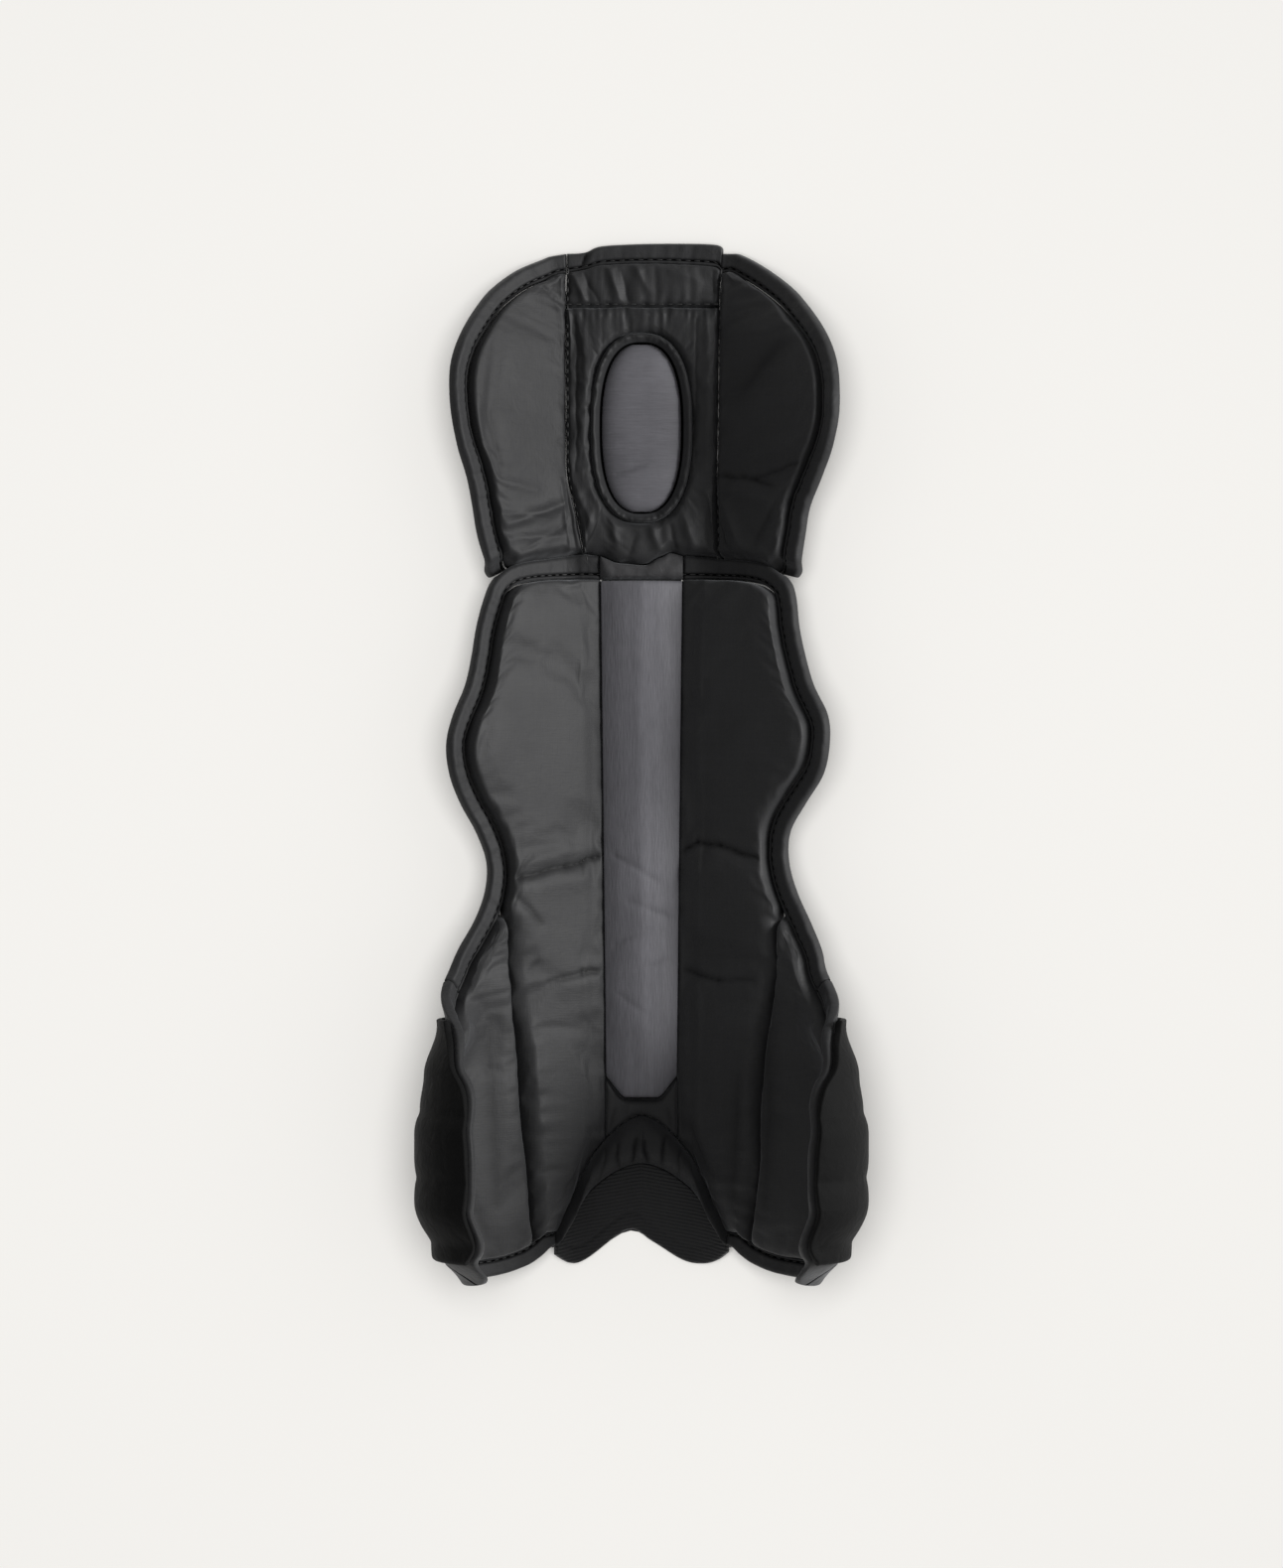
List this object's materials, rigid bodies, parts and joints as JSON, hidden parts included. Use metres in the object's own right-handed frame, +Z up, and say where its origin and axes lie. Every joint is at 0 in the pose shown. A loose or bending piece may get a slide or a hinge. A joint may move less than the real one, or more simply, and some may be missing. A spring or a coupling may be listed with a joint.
{
  "type": "leg guard",
  "caption": "Padded textile leg guard for sport: a trough of knee pad, shin pads, domed middle strip and curled ankle wings, lying hollow side up.",
  "frame": {"origin": "centre of the guard's footprint, on the surface it lies on", "axes": "+X to the guard's right seen from above with the knee end away, +Y along the guard to the knee end, +Z up out of the hollow"},
  "size_m": [0.1766, 0.4137, 0.0844],
  "materials": {
    "black_fabric": "matt woven",
    "black_binding": "matt tape",
    "ribbed_fabric": "fine ribbed",
    "grey_fabric": "satin woven"
  },
  "bodies": {
    "root": {"shin_spine": "grey_fabric", "spine_top_band": "black_binding", "shin_pad_left": "black_fabric", "shin_pad_right": "black_fabric", "shin_binding_left": "black_binding", "shin_binding_right": "black_binding", "ankle_wing_left": "black_fabric", "ankle_wing_right": "black_fabric", "wing_binding_left": "black_binding", "wing_binding_right": "black_binding", "bottom_binding_left": "black_binding", "bottom_binding_right": "black_binding", "wing_cover_left": "ribbed_fabric", "wing_cover_right": "ribbed_fabric", "arch_yoke": "black_fabric", "arch_roll": "black_fabric", "instep_flap": "ribbed_fabric", "knee_centre_panel": "black_fabric", "knee_top_panel": "black_fabric", "knee_wing_left": "black_fabric", "knee_wing_right": "black_fabric", "knee_binding_left": "black_binding", "knee_binding_right": "black_binding", "knee_top_hem": "black_binding", "window_trim": "black_binding", "window_insert": "grey_fabric"}
  },
  "joints": []
}
